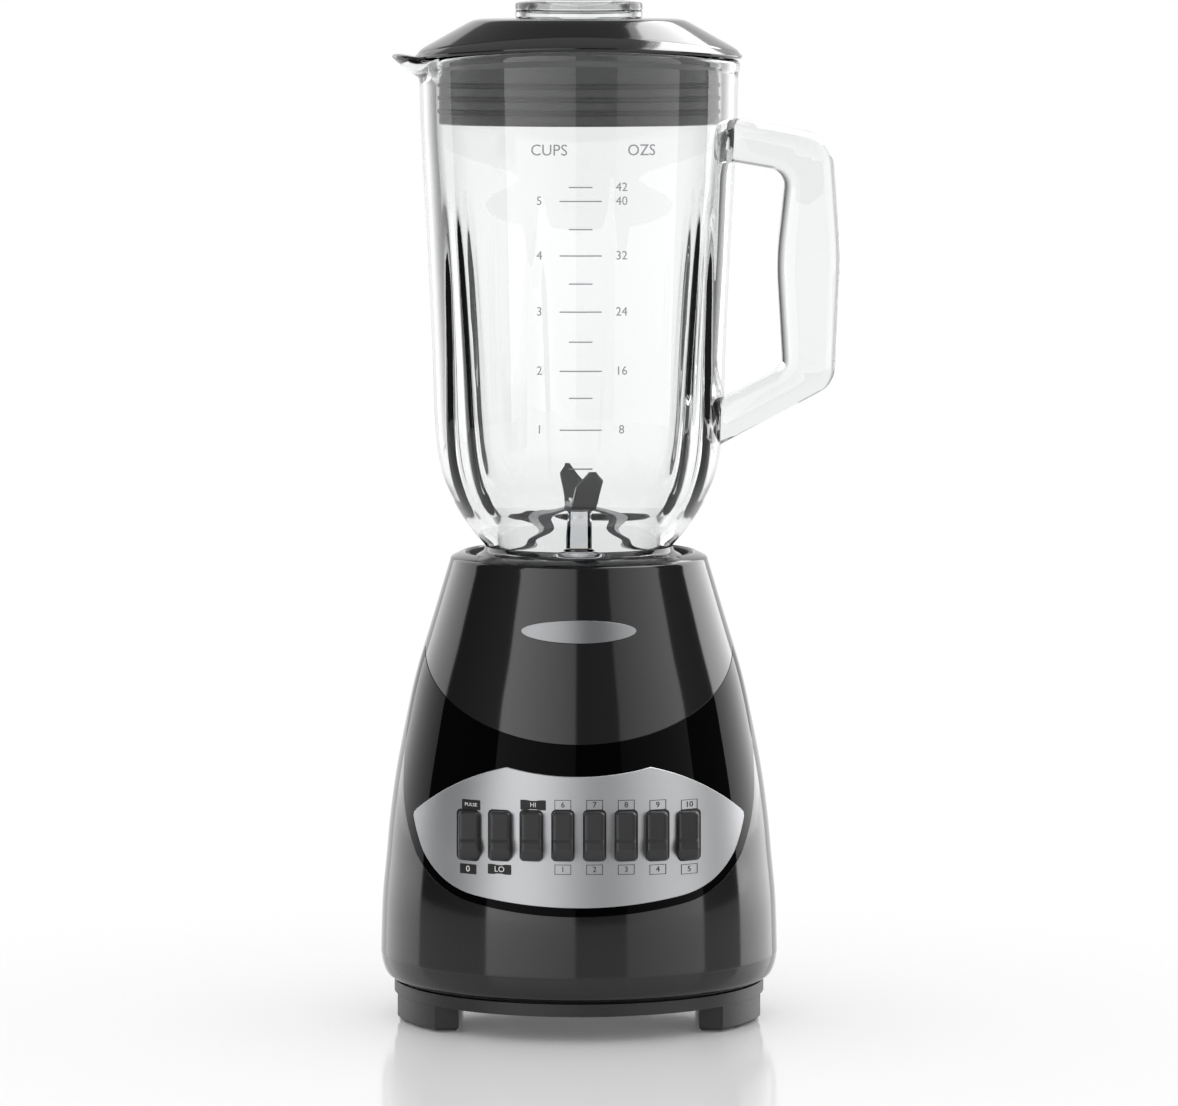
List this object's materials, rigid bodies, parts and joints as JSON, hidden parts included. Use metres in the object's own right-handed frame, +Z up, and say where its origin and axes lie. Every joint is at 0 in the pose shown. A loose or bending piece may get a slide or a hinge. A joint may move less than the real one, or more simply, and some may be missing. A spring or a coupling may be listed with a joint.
{
  "type": "countertop blender",
  "caption": "Countertop blender: round motor base with push keys, glass jar with handle and pouring lip, blades, lid and clear filler cap.",
  "frame": {"origin": "on the motor axis, at the counter under the rubber feet", "axes": "+Z up along the motor axis, -Y toward the control keys, +X toward the jar handle"},
  "size_m": [0.1888, 0.1768, 0.42],
  "materials": {
    "black_plastic": "moulded, high gloss",
    "panel_metal": "brushed sheet",
    "badge_metal": "satin sheet",
    "dark_plastic": "moulded, fine grain",
    "key_plastic": "moulded, satin",
    "rubber": "moulded",
    "screw_steel": "zinc plated",
    "spring_steel": "drawn wire",
    "core_steel": "varnished laminations",
    "copper": "enamelled wire",
    "cast_alloy": "die cast",
    "carbon": "pressed carbon",
    "wire_cover": "extruded",
    "shaft_steel": "ground",
    "glass": "pressed, clear",
    "bronze": "sintered",
    "blade_steel": "stamped and ground",
    "chrome": "polished",
    "clear_plastic": "moulded, clear plastic"
  },
  "bodies": {
    "base": {"main_housing": "black_plastic", "front_fascia": "black_plastic", "control_panel": "panel_metal", "badge": "badge_metal", "jar_seat": "dark_plastic", "seat_screws": "screw_steel", "base_plate": "dark_plastic", "legs": "dark_plastic", "rubber_feet": "rubber", "base_screws": "screw_steel", "cord_inlet": "dark_plastic", "switch_frame": "dark_plastic", "switch_screws": "screw_steel", "key_springs": "spring_steel", "stator_core": "core_steel", "field_coils": "copper", "upper_bracket": "cast_alloy", "lower_bracket": "cast_alloy", "motor_screws": "screw_steel", "motor_mounts": "rubber", "brush_holders": "dark_plastic", "carbon_brushes": "carbon", "lead_wires": "wire_cover", "upper_motor_bearing": "shaft_steel", "lower_motor_bearing": "shaft_steel"},
    "motor": {"armature_shaft": "shaft_steel", "armature_core": "core_steel", "armature_windings": "copper", "commutator": "copper", "cooling_fan": "dark_plastic", "drive_coupling": "cast_alloy"},
    "jar": {"glass_jar": "glass", "jar_collar": "dark_plastic", "blade_gasket": "rubber", "blade_carrier": "chrome", "upper_bush": "bronze", "lower_bush": "bronze"},
    "blades": {"blade_shaft": "shaft_steel", "blade_spacer": "chrome", "lower_blades": "blade_steel", "upper_blades": "blade_steel", "blade_nut": "chrome", "driven_coupling": "cast_alloy"},
    "lid": {"lid": "black_plastic", "lid_seal": "rubber"},
    "cap": {"filler_cap": "clear_plastic"},
    "key_pulse_off": {"key_pulse_off": "key_plastic"},
    "key_low": {"key_low": "key_plastic"},
    "key_high": {"key_high": "key_plastic"},
    "key_speed_1_6": {"key_speed_1_6": "key_plastic"},
    "key_speed_2_7": {"key_speed_2_7": "key_plastic"},
    "key_speed_3_8": {"key_speed_3_8": "key_plastic"},
    "key_speed_4_9": {"key_speed_4_9": "key_plastic"},
    "key_speed_5_10": {"key_speed_5_10": "key_plastic"}
  },
  "joints": [
    {"name": "motor_spin", "type": "hinge", "parent": "base", "child": "motor", "pos_m": [0, 0, 0.1], "axis": [0, 0, 1], "continuous": true},
    {"name": "jar_lift", "type": "slide", "parent": "base", "child": "jar", "axis": [0, 0, 1], "range_m": [0, 0.06]},
    {"name": "blade_spin", "type": "hinge", "parent": "jar", "child": "blades", "pos_m": [0, 0, 0.19], "axis": [0, 0, 1], "continuous": true},
    {"name": "lid_lift", "type": "slide", "parent": "jar", "child": "lid", "axis": [0, 0, 1], "range_m": [0, 0.06]},
    {"name": "cap_lift", "type": "slide", "parent": "lid", "child": "cap", "axis": [0, 0, 1], "range_m": [0, 0.04]},
    {"name": "key_pulse_off_push", "type": "slide", "parent": "base", "child": "key_pulse_off", "axis": [0, 1, 0], "range_m": [0, 0.004], "stiffness_N_per_m": 250, "deforming": ["key_springs"]},
    {"name": "key_low_push", "type": "slide", "parent": "base", "child": "key_low", "axis": [0, 1, 0], "range_m": [0, 0.004], "stiffness_N_per_m": 250, "deforming": ["key_springs"]},
    {"name": "key_high_push", "type": "slide", "parent": "base", "child": "key_high", "axis": [0, 1, 0], "range_m": [0, 0.004], "stiffness_N_per_m": 250, "deforming": ["key_springs"]},
    {"name": "key_speed_1_6_push", "type": "slide", "parent": "base", "child": "key_speed_1_6", "axis": [0, 1, 0], "range_m": [0, 0.004], "stiffness_N_per_m": 250, "deforming": ["key_springs"]},
    {"name": "key_speed_2_7_push", "type": "slide", "parent": "base", "child": "key_speed_2_7", "axis": [0, 1, 0], "range_m": [0, 0.004], "stiffness_N_per_m": 250, "deforming": ["key_springs"]},
    {"name": "key_speed_3_8_push", "type": "slide", "parent": "base", "child": "key_speed_3_8", "axis": [0, 1, 0], "range_m": [0, 0.004], "stiffness_N_per_m": 250, "deforming": ["key_springs"]},
    {"name": "key_speed_4_9_push", "type": "slide", "parent": "base", "child": "key_speed_4_9", "axis": [0, 1, 0], "range_m": [0, 0.004], "stiffness_N_per_m": 250, "deforming": ["key_springs"]},
    {"name": "key_speed_5_10_push", "type": "slide", "parent": "base", "child": "key_speed_5_10", "axis": [0, 1, 0], "range_m": [0, 0.004], "stiffness_N_per_m": 250, "deforming": ["key_springs"]}
  ],
  "couplings": [
    {"joint": "blade_spin", "follows": "motor_spin", "ratio": 1}
  ]
}
